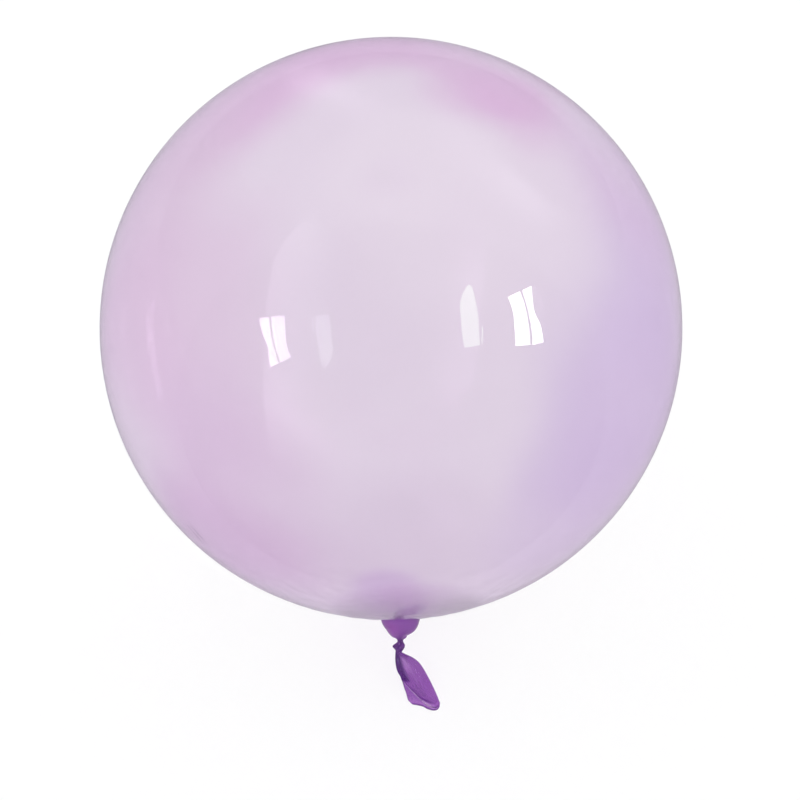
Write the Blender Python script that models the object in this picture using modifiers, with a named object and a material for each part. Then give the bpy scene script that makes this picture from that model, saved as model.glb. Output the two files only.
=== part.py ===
"""Clear bubble balloon, blown up to a ball, tied at its neck and lying on a floor.

Metres, +Z up. The origin is the centre of the small flat on which the ball
rests, at floor level. The neck leans down towards -Y and a little to +X of the
ball's centre, and the flat tail below the knot bends forward along the floor.

The skin is one continuous piece of film: ball, collar, knot and tail are one
closed body. The sealed ball is modelled solid.

Run: blender --background --python part.py
"""

import math

import bmesh
import bpy
from mathutils import Vector

# ------------------------------------------------------------------ dimensions
BALL_RADIUS = 0.280        # 22 inch balloon, 0.56 m across
SPOT_RADIUS = 0.035        # flat on which the ball rests
BALL_STEPS = 64            # facets round the ball
UPPER_RINGS = 16           # facets from the crown to the widest level
LOWER_RINGS = 16           # facets from there down to the flat

NECK_DIP = math.radians(52.0)   # neck's axis below the horizontal, towards -Y
NECK_X = 0.0090                 # neck's axis beside the ball's middle
NECK_SIDES = 28                 # facets round the neck

# distances along the neck's axis from the ball's centre
ROOT_N = 0.2700            # start of the neck's body, inside the ball
FLARE_N = 0.2762           # where the fillet leaves the ball
COLLAR_N = 0.2850          # top of the bowl-shaped collar
WAIST_N = 0.3110           # tightest turn above the knot
PINCH_N = 0.3212           # tightest turn below the knot
TIP_N = 0.3716             # lowest point of the tail's mouth

# radii
FLARE_R = 0.0270
COLLAR_R = 0.0200
WAIST_R = 0.0027
KNOT_R = 0.0057
PINCH_R = 0.0032

COLLAR_POWER = 1.9         # above 1 bulges the collar's side outwards
FLARE_RINGS = 5
COLLAR_RINGS = 12
KNOT_RINGS = 8
TAIL_RINGS = 24

# the tail: half of its thickness, and how fast it bends forward off the axis
TAIL_HALF_THICKNESS = 0.0019
TAIL_BEND_START = 0.3150
TAIL_BEND = 9.0            # 1/m, forward offset = bend * distance squared

# the tail's two edges: distance along the axis and place across it
TAIL_LEFT = (
    (PINCH_N, 0.0036), (0.3350, 0.0040), (0.3440, 0.0090),
    (0.3620, 0.0158), (0.3668, 0.0205), (TIP_N, 0.0390),
)
TAIL_RIGHT = (
    (PINCH_N, 0.0100), (0.3255, 0.0205), (0.3331, 0.0288),
    (0.3440, 0.0364), (0.3594, 0.0448), (0.3684, 0.0480), (TIP_N, 0.0440),
)

# the fold across the tail's front: left of it the tail is a single ply thinner
FOLD_START = (0.3480, 0.0105)
FOLD_END = (0.3700, 0.0330)
FOLD_SOFTNESS = 0.0035
FOLD_STEP = 0.55           # share of the front's thickness that the fold takes off

COLLECTION = "bubble_balloon"
CUTTERS = "bubble_balloon_joined_shapes"
FILM_COLOUR = (0.58, 0.40, 0.66, 1.0)

# ------------------------------------------------------------------ derived
BALL_CENTRE_Z = math.sqrt(BALL_RADIUS ** 2 - SPOT_RADIUS ** 2)
CENTRE = Vector((0.0, 0.0, BALL_CENTRE_Z))
ALONG = Vector((0.0, -math.cos(NECK_DIP), -math.sin(NECK_DIP)))
FRONT = Vector((0.0, -math.sin(NECK_DIP), math.cos(NECK_DIP)))
SIDE = Vector((1.0, 0.0, 0.0))


def clear_scene():
    for ob in list(bpy.data.objects):
        bpy.data.objects.remove(ob, do_unlink=True)


def collection(name, hidden=False):
    made = bpy.data.collections.new(name)
    bpy.context.scene.collection.children.link(made)
    made.hide_render = hidden
    return made


def film_material():
    mat = bpy.data.materials.new("clear_lilac_film")
    mat.use_nodes = True
    shader = mat.node_tree.nodes["Principled BSDF"]
    shader.inputs["Base Color"].default_value = FILM_COLOUR
    shader.inputs["Roughness"].default_value = 0.05
    shader.inputs["Metallic"].default_value = 0.0
    shader.inputs["IOR"].default_value = 1.49
    shader.inputs["Alpha"].default_value = 0.35
    mat.diffuse_color = (*FILM_COLOUR[:3], 0.35)
    return mat


def through(knots, at):
    """The value at a distance on a smooth curve through (distance, value) knots."""
    if at <= knots[0][0]:
        return knots[0][1]
    if at >= knots[-1][0]:
        return knots[-1][1]
    i = next(k for k in range(len(knots) - 1) if at <= knots[k + 1][0])
    (x0, y0), (x1, y1) = knots[i], knots[i + 1]
    span = x1 - x0

    def slope(k):
        lo, hi = max(k - 1, 0), min(k + 1, len(knots) - 1)
        return (knots[hi][1] - knots[lo][1]) / (knots[hi][0] - knots[lo][0])

    t = (at - x0) / span
    return (
        (2 * t ** 3 - 3 * t ** 2 + 1) * y0
        + (t ** 3 - 2 * t ** 2 + t) * span * slope(i)
        + (3 * t ** 2 - 2 * t ** 3) * y1
        + (t ** 3 - t ** 2) * span * slope(i + 1)
    )


# ------------------------------------------------------------------ ball
def ball_profile():
    """Points of the ball's outline at +X, from the crown down to the flat's centre."""
    points = []
    for i in range(UPPER_RINGS):
        a = math.radians(90.0 * (1 - i / UPPER_RINGS))
        points.append((BALL_RADIUS * math.cos(a), BALL_CENTRE_Z + BALL_RADIUS * math.sin(a)))
    points[0] = (0.0, BALL_CENTRE_Z + BALL_RADIUS)
    lowest = -math.asin(BALL_CENTRE_Z / BALL_RADIUS)
    for i in range(LOWER_RINGS + 1):
        a = lowest * i / LOWER_RINGS
        points.append((BALL_RADIUS * math.cos(a), BALL_CENTRE_Z + BALL_RADIUS * math.sin(a)))
    points[-1] = (SPOT_RADIUS, 0.0)
    points.append((0.0, 0.0))
    return points


def make_ball(material, into):
    mesh = bpy.data.meshes.new("balloon")
    points = ball_profile()
    mesh.from_pydata(
        [(x, 0.0, z) for x, z in points],
        [(i, i + 1) for i in range(len(points) - 1)],
        [],
    )
    ball = bpy.data.objects.new("balloon", mesh)
    into.objects.link(ball)
    mesh.materials.append(material)
    turn = ball.modifiers.new("turned", "SCREW")
    turn.axis = "Z"
    turn.angle = math.tau
    turn.steps = BALL_STEPS
    turn.render_steps = BALL_STEPS
    turn.use_merge_vertices = True
    turn.merge_threshold = 0.0001
    turn.use_smooth_shade = True
    turn.use_normal_calculate = False
    return ball


# ------------------------------------------------------------------ neck
def bend(n):
    """How far the neck's middle has bent forward at a distance along its axis."""
    return TAIL_BEND * max(n - TAIL_BEND_START, 0.0) ** 2


def fold_step(n, x):
    """How much of the tail's front thickness is left at a place on it, 1 right of the fold."""
    t = (n - FOLD_START[0]) / (FOLD_END[0] - FOLD_START[0])
    edge = FOLD_START[1] + (FOLD_END[1] - FOLD_START[1]) * t
    s = min(max((x - edge) / FOLD_SOFTNESS + 0.5, 0.0), 1.0)
    deep = min(max(4 * t, 0.0), 1.0)
    return 1.0 - FOLD_STEP * deep * (1.0 - s * s * (3 - 2 * s))


def neck_sections():
    """(distance, middle, half width, half thickness) of each ring, root to tip."""
    rings = [(ROOT_N, NECK_X, FLARE_R, FLARE_R)]
    for i in range(FLARE_RINGS):                     # fillet from the ball to the collar
        t = i / FLARE_RINGS
        r = COLLAR_R + (FLARE_R - COLLAR_R) * (1 - t) ** 2.2
        rings.append((FLARE_N + (COLLAR_N - FLARE_N) * t, NECK_X, r, r))
    for i in range(COLLAR_RINGS):                    # bowl of the collar
        t = i / COLLAR_RINGS
        r = WAIST_R + (COLLAR_R - WAIST_R) * (1 - t ** COLLAR_POWER)
        rings.append((COLLAR_N + (WAIST_N - COLLAR_N) * t, NECK_X - 0.0006 * t, r, r))
    for i in range(KNOT_RINGS):                      # bead of the knot
        t = i / KNOT_RINGS
        base = WAIST_R + (PINCH_R - WAIST_R) * t
        r = base + (KNOT_R - base) * math.sin(math.pi * t) ** 2
        rings.append((WAIST_N + (PINCH_N - WAIST_N) * t, NECK_X - 0.0006 - 0.0016 * t, r, r))
    for i in range(TAIL_RINGS):                      # flattened tail
        t = i / (TAIL_RINGS - 1)
        n = PINCH_N + (TIP_N - PINCH_N) * t
        left, right = through(TAIL_LEFT, n), through(TAIL_RIGHT, n)
        flat = min(t / 0.12, 1.0)
        thick = PINCH_R + (TAIL_HALF_THICKNESS - PINCH_R) * flat * flat * (3 - 2 * flat)
        thick *= 1.0 - 0.45 * max(t - 0.85, 0.0) / 0.15
        rings.append((n, (left + right) / 2, (right - left) / 2, thick))
    return rings


def make_neck(into):
    """Closed body of the collar, knot and tail, lofted through its sections."""
    bm = bmesh.new()
    rings = []
    for n, middle, width, thick in neck_sections():
        lean = 2 * TAIL_BEND * max(n - TAIL_BEND_START, 0.0)
        tilt = math.atan(lean)                       # sections stay square to the bent middle line
        up = FRONT * math.cos(tilt) - ALONG * math.sin(tilt)
        base = CENTRE + ALONG * n + SIDE * middle + FRONT * bend(n)
        ring = []
        for k in range(NECK_SIDES):
            a = math.tau * k / NECK_SIDES
            lift = thick * math.sin(a)
            if lift > 0:
                lift *= fold_step(n, middle + width * math.cos(a))
            ring.append(bm.verts.new(base + SIDE * (width * math.cos(a)) + up * lift))
        rings.append(ring)
    for low, high in zip(rings, rings[1:]):
        for k in range(NECK_SIDES):
            j = (k + 1) % NECK_SIDES
            bm.faces.new((low[k], low[j], high[j], high[k]))
    bm.faces.new(rings[0])
    bm.faces.new(rings[-1])
    bmesh.ops.recalc_face_normals(bm, faces=bm.faces)
    for face in bm.faces:
        face.smooth = True
    mesh = bpy.data.meshes.new("neck_shape")
    bm.to_mesh(mesh)
    bm.free()
    neck = bpy.data.objects.new("neck_shape", mesh)
    into.objects.link(neck)
    neck.hide_render = True
    neck.display_type = "WIRE"
    return neck


def main():
    clear_scene()
    parts = collection(COLLECTION)
    shapes = collection(CUTTERS, hidden=True)
    film = film_material()
    ball = make_ball(film, parts)
    neck = make_neck(shapes)
    neck.data.materials.append(film)
    join = ball.modifiers.new("neck", "BOOLEAN")
    join.operation = "UNION"
    join.solver = "EXACT"
    join.object = neck


main()
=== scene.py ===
"""Looks of the clear bubble balloon: its film, neck, knot and tail, the floor, lights and camera.

Everything is in metres in the frame of the solids. The skin is one closed mesh with a real wall:
ball, fillet, collar, twisted knot and folded two-ply tail.
"""

import math

import bmesh
import bpy
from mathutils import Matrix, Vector, noise


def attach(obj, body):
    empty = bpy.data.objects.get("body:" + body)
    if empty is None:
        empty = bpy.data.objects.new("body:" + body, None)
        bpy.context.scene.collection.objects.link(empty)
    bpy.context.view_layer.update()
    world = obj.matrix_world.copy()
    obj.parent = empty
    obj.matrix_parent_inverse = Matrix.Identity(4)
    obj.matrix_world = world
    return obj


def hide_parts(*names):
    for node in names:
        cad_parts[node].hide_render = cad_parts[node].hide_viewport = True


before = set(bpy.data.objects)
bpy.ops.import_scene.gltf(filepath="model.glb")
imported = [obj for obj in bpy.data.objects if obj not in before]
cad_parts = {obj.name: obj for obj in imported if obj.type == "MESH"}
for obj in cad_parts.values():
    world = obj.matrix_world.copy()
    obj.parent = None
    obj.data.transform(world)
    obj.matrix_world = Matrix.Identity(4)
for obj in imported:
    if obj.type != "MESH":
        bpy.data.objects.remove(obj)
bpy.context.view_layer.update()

# ------------------------------------------------------------------ the balloon's sizes, as in the solids
R = 0.280
SPOT_R = 0.035
CENTRE = Vector((0.0, 0.0, math.sqrt(R * R - SPOT_R * SPOT_R)))
DIP = math.radians(52.0)
ALONG = Vector((0.0, -math.cos(DIP), -math.sin(DIP)))
FRONT = Vector((0.0, -math.sin(DIP), math.cos(DIP)))
SIDE = Vector((1.0, 0.0, 0.0))
NECK_X = 0.0090
FLARE_N, COLLAR_N, WAIST_N, PINCH_N = 0.2762, 0.2850, 0.3110, 0.3212
BEND_START, BEND = 0.3150, 9.0
WALL = 0.00032

AROUND = 192
BALL_RINGS = 84
NEAR_RINGS = 40
FILLET_RINGS = 9
COLLAR_RINGS = 30
KNOT_RINGS = 30
TAIL_RINGS = 56

# ------------------------------------------------------------------ camera: the ball's circle in the 800 x 800 picture
PICTURE = 800.0
DISC_X, DISC_Y, DISC_R = 391.0, 328.6, 291.4
VIEW_DOWN = 45.0
DISTANCE = 8.0 * R
FOCAL_PX = DISC_R * math.sqrt(DISTANCE ** 2 - R ** 2) / R
AIM_X, AIM_Y = DISC_X + 0.15, DISC_Y + 0.95     # where the ball's centre falls; its outline is a little off it


def camera_axes():
    """Right, up and forward of a camera that sees the ball's centre from VIEW_DOWN degrees above."""
    dip = math.radians(VIEW_DOWN)
    for _ in range(40):
        forward = Vector((0.0, math.cos(dip), -math.sin(dip)))
        up = Vector((0.0, math.sin(dip), math.cos(dip)))
        to_ball = (forward + SIDE * ((AIM_X - PICTURE / 2) / FOCAL_PX) - up * ((AIM_Y - PICTURE / 2) / FOCAL_PX)).normalized()
        dip += math.radians(VIEW_DOWN) - math.asin(-to_ball.z)
    return SIDE.copy(), up, forward, CENTRE - to_ball * DISTANCE


RIGHT, UP, FORWARD, EYE = camera_axes()


def ray(px, py):
    return (FORWARD + RIGHT * ((px - PICTURE / 2) / FOCAL_PX) - UP * ((py - PICTURE / 2) / FOCAL_PX)).normalized()


cam_data = bpy.data.cameras.new("camera")
cam_data.sensor_fit = "HORIZONTAL"
cam_data.sensor_width = 36.0
cam_data.lens = 36.0 * FOCAL_PX / PICTURE
cam_data.clip_start = 0.05
cam_data.clip_end = 60.0
cam = bpy.data.objects.new("camera", cam_data)
bpy.context.scene.collection.objects.link(cam)
cam.location = EYE
cam.rotation_euler = FORWARD.to_track_quat("-Z", "Y").to_euler()
bpy.context.scene.camera = cam


# ------------------------------------------------------------------ helpers
def smooth(t):
    t = min(max(t, 0.0), 1.0)
    return t * t * (3 - 2 * t)


def through(knots, at):
    """The value at a distance on a smooth curve through (distance, value) knots."""
    if at <= knots[0][0]:
        return knots[0][1]
    if at >= knots[-1][0]:
        return knots[-1][1]
    i = next(k for k in range(len(knots) - 1) if at <= knots[k + 1][0])
    (x0, y0), (x1, y1) = knots[i], knots[i + 1]
    span = x1 - x0

    def slope(k):
        lo, hi = max(k - 1, 0), min(k + 1, len(knots) - 1)
        return (knots[hi][1] - knots[lo][1]) / (knots[hi][0] - knots[lo][0])

    t = (at - x0) / span
    return ((2 * t ** 3 - 3 * t ** 2 + 1) * y0 + (t ** 3 - 2 * t ** 2 + t) * span * slope(i)
            + (3 * t ** 2 - 2 * t ** 3) * y1 + (t ** 3 - t ** 2) * span * slope(i + 1))


def along_loop(points, share):
    """The place at a share of the length of a run of points, rounded at its corners."""
    steps = [0.0]
    for a, b in zip(points, points[1:]):
        steps.append(steps[-1] + math.hypot(b[0] - a[0], b[1] - a[1]))
    at = share * steps[-1]
    return (through([(s, p[0]) for s, p in zip(steps, points)], at),
            through([(s, p[1]) for s, p in zip(steps, points)], at))


def link(ob):
    bpy.context.scene.collection.objects.link(ob)
    return ob


# ------------------------------------------------------------------ skin
def ball_rings():
    """Rings of the ball from its crown, opposite the neck, to the start of the fillet."""
    axis = (ALONG * R + SIDE * NECK_X).normalized()
    across = (SIDE - axis * SIDE.dot(axis)).normalized()
    front = FRONT
    last = math.asin(0.0270 / R)
    wide = math.radians(38.0)
    angles = [math.pi - (math.pi - wide) * i / BALL_RINGS for i in range(1, BALL_RINGS)]
    angles += [wide - (wide - last) * (i / NEAR_RINGS) for i in range(NEAR_RINGS + 1)]
    rings = []
    for a in angles:
        pull = smooth((math.radians(30) - a) / math.radians(24))      # fine gathers start near the neck
        pucker = smooth((math.radians(34) - a) / math.radians(14)) * smooth((a - last) / math.radians(3))
        ring = []
        for k in range(AROUND):
            phi = math.tau * k / AROUND
            way = across * -math.cos(phi) + front * math.sin(phi)
            ripple = pull * 0.00022 * (math.cos(17 * phi + 0.7) + 0.6 * math.cos(29 * phi + 2.1))
            p = CENTRE + axis * (R * math.cos(a)) + way * (R * math.sin(a))
            if pucker:                                        # the film is puckered close to the neck
                ripple += pucker * (0.00034 * noise.noise(p * 90.0) + 0.00020 * noise.noise(p * 165.0 + Vector((3, 1, 7))))
            p += (p - CENTRE).normalized() * ripple
            ring.append((p, 0.0, 0.0))
        rings.append(ring)
    return rings, CENTRE - axis * R


# the collar's outline on its left and right: distance along the neck, radius
COLLAR_END_N = 0.3100
COLLAR_LEFT = ((COLLAR_N, 0.0200), (0.2912, 0.0184), (0.2948, 0.0166), (0.2978, 0.0144), (0.3017, 0.0119),
               (0.3050, 0.0090), (0.3068, 0.0050), (COLLAR_END_N, 0.0030))
COLLAR_RIGHT = ((COLLAR_N, 0.0200), (0.2915, 0.0183), (0.2953, 0.0168), (0.2993, 0.0140), (0.3022, 0.0098),
                (0.3039, 0.0067), (0.3062, 0.0061), (0.3086, 0.0027), (COLLAR_END_N, 0.0024))


def neck_rings():
    """Rings of the fillet, bowl-shaped collar and twisted knot.

    Each point has its place, its film's density (raised in the knot's fold valleys as painted shade) and its paleness,
    which is nil here."""
    rings = []
    for i in range(1, FILLET_RINGS + 1):                     # fillet
        t = i / FILLET_RINGS
        r = 0.0200 + 0.0070 * (1 - t) ** 2.2
        n = FLARE_N + (COLLAR_N - FLARE_N) * t
        n = n + (math.sqrt(R * R - 0.027 ** 2) * 0.99995 - FLARE_N) * (1 - t) ** 3
        rings.append((n, NECK_X, r, r, 0.010 + 0.012 * t, 0.0))
    for i in range(1, COLLAR_RINGS + 1):                     # collar, fuller and nicked on its right
        t = i / COLLAR_RINGS
        n = COLLAR_N + (COLLAR_END_N - COLLAR_N) * t
        rings.append((n, NECK_X, through(COLLAR_LEFT, n), through(COLLAR_RIGHT, n),
                      0.022 + 0.20 * smooth((t - 0.60) / 0.40), 0.9 * smooth((t - 0.6) / 0.4)))
    for i in range(1, KNOT_RINGS + 1):                       # knot
        t = i / KNOT_RINGS
        base = 0.0027 + 0.0003 * t
        r = base + (0.0058 - base) * math.sin(math.pi * t ** 0.95) ** 2
        rings.append((COLLAR_END_N + (PINCH_N - COLLAR_END_N) * t, NECK_X - 0.0003 - 0.0017 * t, r, r,
                      0.22 - 0.06 * t, 0.9 + 2.4 * t))
    made = []
    for n, middle, left, right, depth, turn in rings:
        ring = []
        tight = smooth((n - 0.3060) / 0.0035)
        for k in range(AROUND):
            phi = math.tau * k / AROUND
            fold = math.cos(7 * phi + 3 * turn) + 0.55 * math.cos(12 * phi + 1.3 + 2 * turn)
            big = math.cos(3 * (phi + turn) + 0.4)
            g = 1 + depth * (0.30 * fold + 0.55 * big * tight) - 0.10 * depth
            r = left + (right - left) * (1 - math.cos(phi)) / 2
            # the knot's gathered film is denser all over, and denser still in its fold valleys: painted shade in the
            # creases
            dense_and_shade = tight * (0.74 - 0.28 * fold - 0.22 * big)
            p = (CENTRE + ALONG * n + SIDE * (middle - r * g * math.cos(phi))
                 + FRONT * (bend(n) + (0.96 if tight else 1.0) * r * g * math.sin(phi)))
            ring.append((p, min(max(dense_and_shade, 0.0), 1.0), 0.0))
        made.append(ring)
    return made


def bend(n):
    return BEND * max(n - BEND_START, 0.0) ** 2


TAIL_LEFT = ((PINCH_N, 0.0040), (0.3280, 0.0038), (0.3350, 0.0046), (0.3400, 0.0062), (0.3440, 0.0088),
             (0.3488, 0.0112), (0.3560, 0.0138), (0.3620, 0.0160), (0.3664, 0.0205))
TAIL_RIGHT = ((PINCH_N, 0.0098), (0.3235, 0.0150), (0.3262, 0.0208), (0.3300, 0.0262), (0.3350, 0.0305),
              (0.3440, 0.0362), (0.3540, 0.0418), (0.3610, 0.0454), (0.3663, 0.0477))
MOUTH_FRONT = ((0.0112, 0.3488), (0.0215, 0.3590), (0.0324, 0.3676), (0.0360, 0.3697), (0.0408, 0.3709),
               (0.0448, 0.3705), (0.0470, 0.3689), (0.0477, 0.3663))
MOUTH_BACK = ((0.0477, 0.3663), (0.0473, 0.3693), (0.0448, 0.3713), (0.0410, 0.3716), (0.0356, 0.3705),
              (0.0312, 0.3684), (0.0255, 0.3672), (0.0208, 0.3665), (0.0178, 0.3642), (0.0150, 0.3590),
              (0.0112, 0.3488))


def tail_rings():
    """Rings of the flattened tail, from the pinch under the knot to its slanted open mouth."""
    rings = []
    for i in range(1, TAIL_RINGS + 1):
        v = i / TAIL_RINGS
        ring = []
        for k in range(AROUND):
            phi = math.tau * k / AROUND
            if phi <= math.pi:
                mx, mn = along_loop(MOUTH_FRONT, phi / math.pi)
            else:
                mx, mn = along_loop(MOUTH_BACK, (phi - math.pi) / math.pi)
            n = PINCH_N + (mn - PINCH_N) * v
            lane0 = (1 - math.cos(phi)) / 2
            left_m, right_m = through(TAIL_LEFT, mn), through(TAIL_RIGHT, mn)
            lane_m = (mx - left_m) / (right_m - left_m)
            lane = lane0 + (lane_m - lane0) * smooth(v) * (0.3 + 0.7 * v)
            left, right = through(TAIL_LEFT, n), through(TAIL_RIGHT, n)
            x = left + (right - left) * lane
            flat = smooth((n - PINCH_N) / 0.0075)
            half = 0.0030 + (0.00125 - 0.0030) * flat + 0.0007 * smooth((v - 0.8) / 0.2)
            f = half * math.sin(phi)
            # long soft folds that fan out from the pinch and fade towards the mouth
            fan = flat * (1 - 0.75 * smooth(v)) * math.sin(math.pi * min(max(lane, 0), 1))
            f += fan * (0.00075 * math.cos(9.5 * lane + 0.6) + 0.0005 * math.cos(17 * lane + 2.0))
            # a pleat under the left edge, pressed in from the front
            pleat = math.exp(-((lane - 0.20) / 0.10) ** 2) * flat * (1 - smooth((n - 0.3455) / 0.006))
            f -= 0.0009 * pleat * (1.0 if phi <= math.pi else 0.5)
            if phi <= math.pi:                                # the cut front edge curls up a little
                f += 0.0010 * smooth((v - 0.86) / 0.14) * (1 - 0.4 * lane)
            else:                                             # the flap behind it curls back
                f -= 0.0006 * smooth((v - 0.80) / 0.20)
            # the rolled lip along the mouth
            f += 0.00035 * math.exp(-((v - 0.945) / 0.018) ** 2) * (1 if phi <= math.pi else -1) * -1
            tilt = math.atan(2 * BEND * max(n - BEND_START, 0.0))
            up = FRONT * math.cos(tilt) - ALONG * math.sin(tilt)
            blend = smooth((n - PINCH_N) / 0.004)
            up = (FRONT * (1 - blend) + up * blend).normalized()
            p = CENTRE + ALONG * n + SIDE * x + FRONT * bend(n) + up * f
            p.z = max(p.z, 0.0006 + WALL)
            # dark where the left edge is folded over and round the rim, and a painted shadow in a band beside the cut
            # edge
            start = 1 - smooth((n - 0.3240) / 0.0045)
            dense_and_shade = 0.50 * start
            dense_and_shade = max(dense_and_shade, smooth((0.35 - lane) / 0.15) * (1 - smooth((n - 0.3475) / 0.0025)))
            rim = smooth((v - 0.970) / 0.012)
            if phi <= math.pi:
                # painted shadow: a dark band just inside the front ply's cut edge
                beside = smooth((v - 0.875) / 0.03) * (1 - smooth((v - 0.925) / 0.02)) * (1 - smooth((lane - 0.55) / 0.35))
                dense_and_shade = max(dense_and_shade, 0.75 * beside, 0.55 * rim * smooth((lane - 0.5) / 0.3))
                # painted highlight: a pale line along the front ply's cut edge
                thin_and_highlight = 0.85 * smooth((v - 0.950) / 0.012) * (1 - smooth((lane - 0.55) / 0.30))
            else:
                flap = smooth((v - 0.55) / 0.2) * (1 - smooth((lane - 0.60) / 0.15))
                dense_and_shade = max(dense_and_shade, (0.62 - 0.42 * smooth((v - 0.80) / 0.2)) * flap, 0.85 * rim)
                thin_and_highlight = 0.45 * smooth((v - 0.90) / 0.02) * smooth((lane - 0.62) / 0.1) * (1 - rim)
            # painted highlight: a soft pale streak down the tail's body near the pinch
            thin_and_highlight += 0.28 * math.exp(-((lane - 0.40) / 0.10) ** 2) * flat * (1 - smooth((n - 0.3330) / 0.010))
            ring.append((p, min(dense_and_shade, 1.0), min(thin_and_highlight, 1.0)))
        rings.append(ring)
    return rings


def make_skin():
    rings, crown = ball_rings()
    clear = len(rings)
    rings += neck_rings() + tail_rings()
    slots = [0] * (clear + FILLET_RINGS) + [1] * (len(rings) - clear - FILLET_RINGS)
    # a rolled rounding where the ball is pressed flat on the floor
    for ring in rings[:clear]:
        for p, _, _ in ring:
            d = math.hypot(p.x, p.y)
            if p.z < 0.006 and d < 0.075:
                s = 0.0007
                h = p.z
                p.z = 0.5 * (h + math.sqrt(h * h + 4 * s * s)) if h > -0.01 else 0.0
                p.z = max(p.z - s * smooth((0.030 - d) / 0.02), 0.0)
    bm = bmesh.new()
    # per point: film density with painted shade, and paleness of single-ply film with painted highlights
    dense_and_shade_of = bm.verts.layers.float.new("dense_and_shade")
    thin_and_highlight_of = bm.verts.layers.float.new("thin_and_highlight")
    first = bm.verts.new(crown)
    made = []
    for ring in rings:
        row = []
        for p, dense_and_shade, thin_and_highlight in ring:
            vert = bm.verts.new(p)
            vert[dense_and_shade_of], vert[thin_and_highlight_of] = dense_and_shade, thin_and_highlight
            row.append(vert)
        made.append(row)
    for k in range(AROUND):
        j = (k + 1) % AROUND
        f = bm.faces.new((first, made[0][k], made[0][j]))
        f.material_index = 0
    for i, (low, high) in enumerate(zip(made, made[1:])):
        for k in range(AROUND):
            j = (k + 1) % AROUND
            f = bm.faces.new((low[j], low[k], high[k], high[j]))
            f.material_index = slots[i + 1]
    bmesh.ops.recalc_face_normals(bm, faces=bm.faces)
    mesh = bpy.data.meshes.new("balloon_skin")
    bm.to_mesh(mesh)
    bm.free()
    mesh.shade_smooth()
    return link(bpy.data.objects.new("balloon_skin", mesh))


def wall(ob):
    """Gives the open skin its thickness, inwards, so that it is one closed wall round the mouth."""
    mod = ob.modifiers.new("wall", "SOLIDIFY")
    mod.thickness = WALL
    mod.offset = -1.0
    mod.use_even_offset = False
    mod.use_rim = True


# ------------------------------------------------------------------ materials
def node(nt, kind, **values):
    made = nt.nodes.new(kind)
    for name, value in values.items():
        setattr(made, name, value)
    return made


def mix_colour(nt, factor, a, b):
    made = node(nt, "ShaderNodeMix", data_type="RGBA", clamp_factor=True)
    for socket, value in ((made.inputs["Factor"], factor), (made.inputs[6], a), (made.inputs[7], b)):
        if isinstance(value, (tuple, float, int)):
            socket.default_value = value
        else:
            nt.links.new(value, socket)
    return made.outputs[2]


def maths(nt, operation, a, b=None, c=None):
    made = node(nt, "ShaderNodeMath", operation=operation)
    for socket, value in zip(made.inputs, (a, b, c)):
        if value is None:
            continue
        if isinstance(value, (float, int)):
            socket.default_value = value
        else:
            nt.links.new(value, socket)
    return made.outputs[0]


def blob(nt, place, at, near, far):
    """1 within near metres of a point on the balloon, 0 beyond far, softly."""
    gap = node(nt, "ShaderNodeVectorMath", operation="DISTANCE")
    nt.links.new(place, gap.inputs[0])
    gap.inputs[1].default_value = tuple(at)
    fade = node(nt, "ShaderNodeMapRange", interpolation_type="SMOOTHERSTEP")
    nt.links.new(gap.outputs["Value"], fade.inputs["Value"])
    fade.inputs["From Min"].default_value = near
    fade.inputs["From Max"].default_value = far
    fade.inputs["To Min"].default_value = 1.0
    fade.inputs["To Max"].default_value = 0.0
    return fade.outputs["Result"]


def on_ball(px, py, back=False):
    """The point of the ball that shows at a place in the picture, on its near or far wall."""
    d = ray(px, py)
    to = CENTRE - EYE
    along = to.dot(d)
    miss = max(R * R - (to.length_squared - along * along), 0.0)
    return EYE + d * (along + (1 if back else -1) * math.sqrt(miss))


PALE = (0.873, 0.828, 0.892, 1.0)
ROSE = (0.855, 0.755, 0.860, 1.0)
# pale patches painted where soft reflections of the lamps fall: painted reflection
PALE_REFLECTION = (0.915, 0.872, 0.918, 1.0)
MAGENTA = (0.80, 0.555, 0.79, 1.0)
PINKISH = (0.795, 0.635, 0.79, 1.0)
PLUM = (0.725, 0.53, 0.74, 1.0)
HAZE = (0.80, 0.725, 0.82, 1.0)
BLUE_LILAC = (0.715, 0.605, 0.825, 1.0)
EDGE = (0.70, 0.57, 0.77, 1.0)
GATHERED = (0.635, 0.435, 0.715, 1.0)
VIOLET = (0.755, 0.60, 0.815, 1.0)
DEEP = (0.497, 0.241, 0.617, 1.0)
PINK_CORE = (0.76, 0.48, 0.77, 1.0)
SMOKY = (0.70, 0.52, 0.81, 1.0)
ROSY = (0.62, 0.24, 0.66, 1.0)
DARK = (0.21, 0.055, 0.35, 1.0)
# pale tint of single-ply film, also used for painted highlights on the tail
THIN_FILM_AND_HIGHLIGHT = (0.86, 0.70, 0.90, 1.0)

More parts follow.
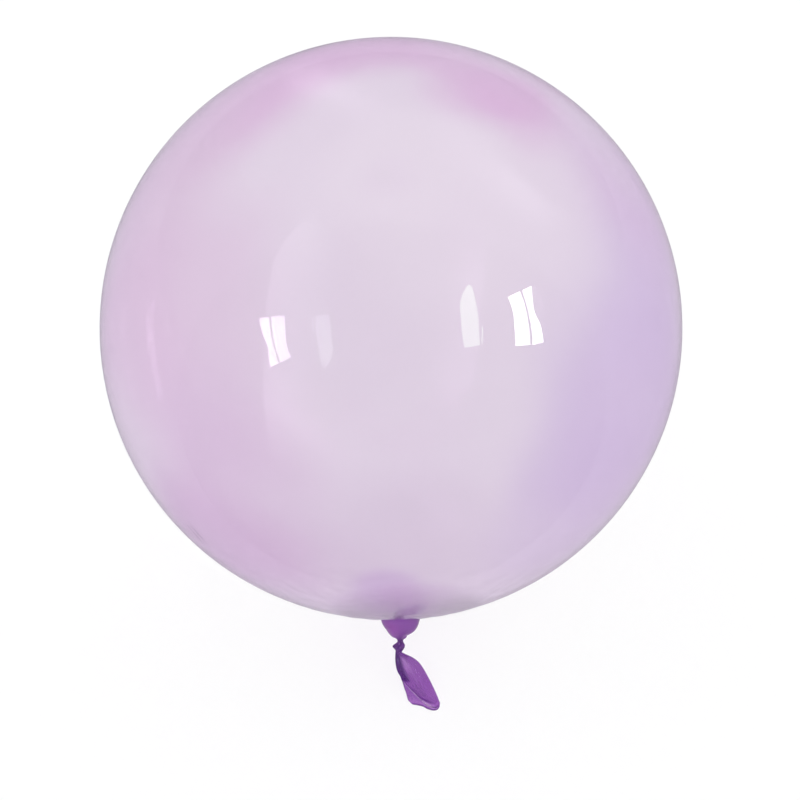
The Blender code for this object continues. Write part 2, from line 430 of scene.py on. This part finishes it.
# denser and paler places of the ball's film, and pale patches of painted reflection (the first three): picture place,
# where it starts to fade, where it ends, share, tint
SPOTS = (
    (430, 205, 0.040, 0.150, 0.45, PALE_REFLECTION), (391, 175, 0.020, 0.090, 0.35, PALE_REFLECTION), (298, 412, 0.012, 0.062, 0.30, PALE_REFLECTION),
    (360, 46, 0.020, 0.110, 0.80, MAGENTA), (500, 92, 0.020, 0.105, 0.88, MAGENTA), (545, 70, 0.010, 0.090, 0.50, MAGENTA),
    (245, 100, 0.005, 0.105, 0.72, MAGENTA), (135, 320, 0.020, 0.150, 0.70, PINKISH), (190, 290, 0.030, 0.140, 0.60, PINKISH),
    (213, 453, 0.000, 0.160, 0.58, PLUM), (220, 550, 0.020, 0.140, 0.72, PLUM), (300, 560, 0.010, 0.100, 0.45, PLUM),
    (391, 550, 0.030, 0.140, 0.70, HAZE), (330, 330, 0.030, 0.130, 0.30, HAZE),
    (635, 400, 0.050, 0.180, 0.80, BLUE_LILAC), (575, 515, 0.030, 0.130, 0.45, BLUE_LILAC), (655, 280, 0.020, 0.130, 0.60, BLUE_LILAC),
    (302, 64, 0.010, 0.100, 0.65, MAGENTA), (430, 48, 0.010, 0.090, 0.60, MAGENTA), (165, 185, 0.020, 0.130, 0.60, PINKISH),
    (205, 130, 0.010, 0.100, 0.45, PINKISH), (625, 185, 0.020, 0.130, 0.65, VIOLET),
)


def film_material(name, neck):
    mat = bpy.data.materials.new(name)
    mat.use_nodes = True
    nt = mat.node_tree
    shader = nt.nodes["Principled BSDF"]
    place = node(nt, "ShaderNodeTexCoord").outputs["Object"]
    cloud = node(nt, "ShaderNodeTexNoise")
    nt.links.new(place, cloud.inputs["Vector"])
    cloud.inputs["Scale"].default_value = 4.2
    cloud.inputs["Detail"].default_value = 2.0
    cloud.inputs["Roughness"].default_value = 0.45
    colour = mix_colour(nt, maths(nt, "MULTIPLY", cloud.outputs["Fac"], 0.42), PALE, ROSE)
    # the spots' outlines wander like clouds
    drift = node(nt, "ShaderNodeTexNoise")
    nt.links.new(place, drift.inputs["Vector"])
    drift.inputs["Scale"].default_value = 8.0
    drift.inputs["Detail"].default_value = 1.0
    moved = node(nt, "ShaderNodeVectorMath", operation="MULTIPLY_ADD")
    nt.links.new(drift.outputs["Color"], moved.inputs[0])
    moved.inputs[1].default_value = (0.075, 0.075, 0.075)
    nt.links.new(place, moved.inputs[2])
    for px, py, near, far, share, tint in SPOTS:
        middle = on_ball(px, py) + Vector((0.0375, 0.0375, 0.0375))
        spot = blob(nt, moved.outputs["Vector"], middle, near, far)
        colour = mix_colour(nt, maths(nt, "MULTIPLY", spot, share), colour, tint)
    root = CENTRE + ALONG * COLLAR_N + SIDE * NECK_X
    colour = mix_colour(nt, blob(nt, place, root, 0.026, 0.090), colour, GATHERED)
    for px, py, near, far, share, tint in ((386, 587, 0.012, 0.052, 0.60, SMOKY), (400, 597, 0.006, 0.032, 0.55, PINK_CORE)):
        spot = blob(nt, place, on_ball(px, py, back=True), near, far)
        colour = mix_colour(nt, maths(nt, "MULTIPLY", spot, share), colour, tint)
    colour = mix_colour(nt, blob(nt, place, root, 0.019, 0.044), colour, DEEP)
    if neck:
        streak = node(nt, "ShaderNodeTexNoise")
        nt.links.new(place, streak.inputs["Vector"])
        streak.inputs["Scale"].default_value = 140.0
        streak.inputs["Detail"].default_value = 3.0
        colour = mix_colour(nt, maths(nt, "MULTIPLY", streak.outputs["Fac"], 0.22), DEEP, DARK)
        rosy = blob(nt, place, CENTRE + ALONG * 0.2965 - SIDE * 0.002 + FRONT * 0.014, 0.002, 0.017)
        colour = mix_colour(nt, maths(nt, "MULTIPLY", rosy, 0.5), colour, ROSY)
        # the knot's and tail's denser film with painted shade, then paler single-ply film with painted highlights, from
        # the skin's per-point values
        dense_and_shade = node(nt, "ShaderNodeAttribute", attribute_name="dense_and_shade").outputs["Fac"]
        colour = mix_colour(nt, dense_and_shade, colour, DARK)
        colour = mix_colour(nt, node(nt, "ShaderNodeAttribute", attribute_name="thin_and_highlight").outputs["Fac"], colour, THIN_FILM_AND_HIGHLIGHT)
    if not neck:                                             # film seen on edge is denser
        slant = node(nt, "ShaderNodeLayerWeight")
        slant.inputs["Blend"].default_value = 0.5
        edge = maths(nt, "MULTIPLY", maths(nt, "POWER", slant.outputs["Facing"], 3.0), 0.65)
        colour = mix_colour(nt, edge, colour, EDGE)
    nt.links.new(colour, shader.inputs["Base Color"])
    shader.inputs["Metallic"].default_value = 0.0
    shader.inputs["Roughness"].default_value = 0.14 if neck else 0.012
    shader.inputs["IOR"].default_value = 1.46 if neck else 1.36
    shader.inputs["Transmission Weight"].default_value = 0.80 if neck else 1.0
    # faint orange-peel and stretch of the film
    peel = node(nt, "ShaderNodeTexNoise")
    nt.links.new(place, peel.inputs["Vector"])
    peel.inputs["Scale"].default_value = 420.0 if neck else 16.0
    peel.inputs["Detail"].default_value = 2.0
    bump = node(nt, "ShaderNodeBump")
    bump.inputs["Strength"].default_value = 0.35 if neck else 0.06
    bump.inputs["Distance"].default_value = 0.0002 if neck else 0.0010
    nt.links.new(peel.outputs["Fac"], bump.inputs["Height"])
    if not neck:
        # crinkled film round the neck, and a few stretch lines low on the left
        crinkle = node(nt, "ShaderNodeTexNoise")
        nt.links.new(place, crinkle.inputs["Vector"])
        crinkle.inputs["Scale"].default_value = 720.0
        crinkle.inputs["Detail"].default_value = 1.0
        spot = on_ball(196, 534)
        along = (on_ball(226, 563) - on_ball(172, 503)).normalized()
        across = along.cross((spot - CENTRE).normalized())
        offset = node(nt, "ShaderNodeVectorMath", operation="DOT_PRODUCT")
        nt.links.new(place, offset.inputs[0])
        offset.inputs[1].default_value = tuple(across)
        wave = maths(nt, "SINE", maths(nt, "MULTIPLY_ADD", offset.outputs["Value"], 620.0, -620.0 * spot.dot(across)))
        for height, mask, depth in ((crinkle.outputs["Fac"], blob(nt, place, on_ball(408, 609), 0.034, 0.085), 0.00019),
                                    (wave, blob(nt, place, spot, 0.003, 0.015), 0.00010)):
            finer = node(nt, "ShaderNodeBump")
            finer.inputs["Strength"].default_value = 1.0
            finer.inputs["Distance"].default_value = depth
            nt.links.new(maths(nt, "MULTIPLY", height, mask), finer.inputs["Height"])
            nt.links.new(bump.outputs["Normal"], finer.inputs["Normal"])
            bump = finer
    nt.links.new(bump.outputs["Normal"], shader.inputs["Normal"])
    return mat


# ------------------------------------------------------------------ build the skin
skin = make_skin()
skin.data.materials.append(film_material("clear_film", False))
skin.data.materials.append(film_material("gathered_film", True))
wall(skin)
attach(skin, "root")
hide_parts("balloon")

# ------------------------------------------------------------------ floor, world and lights
floor_mesh = bpy.data.meshes.new("floor")
floor_mesh.from_pydata([(-20, -20, 0), (20, -20, 0), (20, 20, 0), (-20, 20, 0)], [], [(0, 1, 2, 3)])
floor = link(bpy.data.objects.new("floor", floor_mesh))
floor_mat = bpy.data.materials.new("floor_paper")
floor_mat.use_nodes = True
fs = floor_mat.node_tree.nodes["Principled BSDF"]
fs.inputs["Base Color"].default_value = (0.93, 0.93, 0.93, 1.0)
fs.inputs["Roughness"].default_value = 0.9
fs.inputs["Specular IOR Level"].default_value = 0.2
floor_mesh.materials.append(floor_mat)
floor.location.z = -0.0003
floor.visible_glossy = False                              # the film mirrors even walls all round, with no horizon

WALLS_SEEN, WALLS_MIRRORED, WALLS_ON_FLOOR, FILL_ON_FLOOR = 1.02, 0.74, 0.22, 0.88
LOW_WALLS = (0.78, 0.70, 0.83, 1.0)                       # the film mirrors a dimmer lilac from below
world = bpy.data.worlds.new("studio")
world.use_nodes = True
sky = world.node_tree.nodes["Background"]
rays = node(world.node_tree, "ShaderNodeLightPath")
height = node(world.node_tree, "ShaderNodeSeparateXYZ")
world.node_tree.links.new(node(world.node_tree, "ShaderNodeTexCoord").outputs["Generated"], height.inputs[0])
low = node(world.node_tree, "ShaderNodeMapRange", interpolation_type="SMOOTHSTEP")
world.node_tree.links.new(height.outputs["Z"], low.inputs["Value"])
low.inputs["From Min"].default_value = -0.45
low.inputs["From Max"].default_value = 0.20
low.inputs["To Min"].default_value = 1.0
low.inputs["To Max"].default_value = 0.0
in_mirror = maths(world.node_tree, "MINIMUM", rays.outputs["Glossy Depth"], 1.0)
below = maths(world.node_tree, "MULTIPLY", low.outputs["Result"], in_mirror)
world.node_tree.links.new(mix_colour(world.node_tree, below, (1.0, 1.0, 1.0, 1.0), LOW_WALLS), sky.inputs["Color"])
level = maths(world.node_tree, "MULTIPLY_ADD", in_mirror, WALLS_MIRRORED - WALLS_SEEN, WALLS_SEEN)
on_floor = maths(world.node_tree, "MINIMUM", rays.outputs["Diffuse Depth"], 1.0)
level = maths(world.node_tree, "MULTIPLY_ADD", on_floor, maths(world.node_tree, "SUBTRACT", WALLS_ON_FLOOR, level), level)
world.node_tree.links.new(level, sky.inputs["Strength"])
bpy.context.scene.world = world
world.cycles.sampling_method = "NONE"                     # even walls need no shadow rays, and light passes the film

# a wide overhead fill that brightens the floor evenly, also under the clear ball
fill_data = bpy.data.lights.new("fill", "SUN")
fill_data.energy = FILL_ON_FLOOR * math.pi
fill_data.angle = math.radians(60.0)
fill_data.use_shadow = False
fill_data.cycles.use_multiple_importance_sampling = False
fill = link(bpy.data.objects.new("fill", fill_data))
fill.location = (0.0, 0.0, 3.0)
fill.visible_glossy = False
fill.visible_transmission = False


def panel_plane(px, py, reach):
    """Where a panel stands so that the ball's near wall mirrors it at a place in the picture, and its axes."""
    hit = on_ball(px, py)
    n = (hit - CENTRE).normalized()
    d = ray(px, py)
    way = (d - n * (2 * d.dot(n))).normalized()
    return hit + way * reach, way


def mirrored(px, py, at, way):
    """The point of a panel's plane that shows in the near wall at a place in the picture."""
    hit = on_ball(px, py)
    n = (hit - CENTRE).normalized()
    d = ray(px, py)
    out = (d - n * (2 * d.dot(n))).normalized()
    return hit + out * ((at - hit).dot(way) / out.dot(way))


def light_mesh(name, bm, strength, tint, soft):
    """Makes an emissive panel of a mesh; a soft one fades by its "glow" values."""
    mesh = bpy.data.meshes.new(name)
    bm.to_mesh(mesh)
    bm.free()
    ob = link(bpy.data.objects.new(name, mesh))
    mat = bpy.data.materials.new(name)
    mat.use_nodes = True
    nt = mat.node_tree
    nt.nodes.remove(nt.nodes["Principled BSDF"])
    surface = node(nt, "ShaderNodeEmission")
    surface.inputs["Color"].default_value = (*tint, 1.0)
    surface.inputs["Strength"].default_value = strength
    if soft:
        fade = node(nt, "ShaderNodeMixShader")
        nt.links.new(node(nt, "ShaderNodeAttribute", attribute_name="glow").outputs["Fac"], fade.inputs[0])
        nt.links.new(node(nt, "ShaderNodeBsdfTransparent").outputs[0], fade.inputs[1])
        nt.links.new(surface.outputs[0], fade.inputs[2])
        surface = fade
    nt.links.new(surface.outputs[0], nt.nodes["Material Output"].inputs["Surface"])
    mat.cycles.emission_sampling = "NONE"                 # seen in the film only, by its mirror rays
    mesh.materials.append(mat)
    ob.visible_camera = False
    ob.visible_diffuse = False
    ob.visible_shadow = False
    return ob


def panel(name, panes, reach, strength, tint=(1.0, 1.0, 1.0)):
    """A bright panel whose mirror image in the ball's near wall has the given outlines in the picture."""
    corners = [p for outline in panes for p in outline]
    at, way = panel_plane(sum(p[0] for p in corners) / len(corners), sum(p[1] for p in corners) / len(corners), reach)
    bm = bmesh.new()
    for outline in panes:
        bm.faces.new([bm.verts.new(mirrored(px, py, at, way)) for px, py in outline])
    return light_mesh(name, bm, strength, tint, soft=False)


def glow_strip(name, line, reach, strength, left_fade=1.0, tint=(1.0, 1.0, 1.0)):
    """A soft strip of light whose mirror image in the near wall follows a line in the picture.

    Each point of the line: x, y, width to its left, width to its right, brightness."""
    keys = [[(i, p[j]) for i, p in enumerate(line)] for j in range(5)]
    last = len(line) - 1
    at, way = panel_plane(*(through(keys[j], last / 2) for j in (0, 1)), reach)
    bm = bmesh.new()
    glow = bm.verts.layers.float.new("glow")
    rows = []
    for i in range(29):
        s = last * i / 28
        x, y, left, right, bright = (through(k, s) for k in keys)
        dx, dy = (through(keys[j], min(s + 0.05, last)) - through(keys[j], max(s - 0.05, 0)) for j in (0, 1))
        size = math.hypot(dx, dy)
        row = []
        for j in range(25):
            v = j / 12 - 1
            w = right if v > 0 else left
            vert = bm.verts.new(mirrored(x - dy / size * v * w, y + dx / size * v * w, at, way))
            vert[glow] = max(bright, 0.0) * (smooth(1 - v) if v > 0 else smooth((1 + v) / left_fade))
            row.append(vert)
        rows.append(row)
    for low, high in zip(rows, rows[1:]):
        for j in range(24):
            bm.faces.new((low[j], low[j + 1], high[j + 1], high[j]))
    return light_mesh(name, bm, strength, tint, soft=True)


# a bright window with a thin bar and a paler door beside it, which the near wall shows on the right and the far
# wall, turned round, on the left
FAR = 24 * R
panel("window", (
    [(507.5, 297), (519.8, 291.4), (522.8, 299.7), (525.6, 308), (529.2, 328), (529.6, 331.5), (530.4, 344.6),
     (515.6, 346.2), (514.8, 330), (514.0, 317), (511.4, 305)],
    [(522.4, 290.2), (531.6, 286.0), (532.6, 297), (533.6, 309), (536.8, 317), (540.7, 324.7), (542.2, 334),
     (543.4, 342.2), (532.8, 344.4), (532.2, 331.5), (531.4, 328), (527.8, 308), (525.2, 299.4)]), FAR, 17.0,
      (0.93, 1.0, 0.88))
panel("door", (
    [(469.5, 284), (472.5, 287), (475.8, 302), (478.4, 315.3), (480.0, 345.3), (472.5, 346.6), (464.2, 347.6),
     (461.7, 330.3), (459.7, 305.3), (461.7, 295.3), (467.0, 286)],), FAR, 5.2, (0.72, 1.0, 0.68))
panel("door_frame", ([(481.8, 327), (483.2, 327), (483.2, 344), (481.8, 344)],), FAR, 5.2, (0.72, 1.0, 0.68))
glow_strip("lamp_row", (
    (420, 98, 24, 30, 0.0), (450, 130, 26, 38, 0.35), (482, 160, 24, 42, 0.60), (510, 182, 20, 40, 1.0),
    (539, 206, 17, 34, 0.90), (572, 230, 12, 24, 0.0)), 2.5 * R, 1.5, left_fade=0.8)
glow_strip("lamp_side", ((548, 108, 12, 18, 0.0), (582, 134, 16, 22, 0.8), (612, 168, 16, 22, 1.0), (640, 214, 12, 18, 0.0)),
           2.5 * R, 0.80)
glow_strip("curtain", (
    (322, 214, 10, 40, 0.0), (303, 234, 12, 60, 0.8), (285, 262, 13, 70, 1.0), (277, 300, 12, 70, 0.9),
    (275, 350, 13, 56, 0.8), (277, 405, 16, 50, 1.0), (290, 470, 18, 44, 0.0))[::-1], 3.0 * R, 1.85, left_fade=0.30)
glow_strip("curtain_top", ((276, 92, 26, 22, 0.0), (314, 86, 30, 30, 1.0), (352, 98, 32, 34, 0.8), (404, 128, 32, 34, 0.0)),
           3.0 * R, 1.30)

bpy.context.scene.view_settings.view_transform = "Standard"
bpy.context.scene.view_settings.look = "None"
cy = bpy.context.scene.cycles
cy.max_bounces = 12
cy.transmission_bounces = 12
cy.glossy_bounces = 4
cy.transparent_max_bounces = 24
cy.sample_clamp_indirect = 14.0
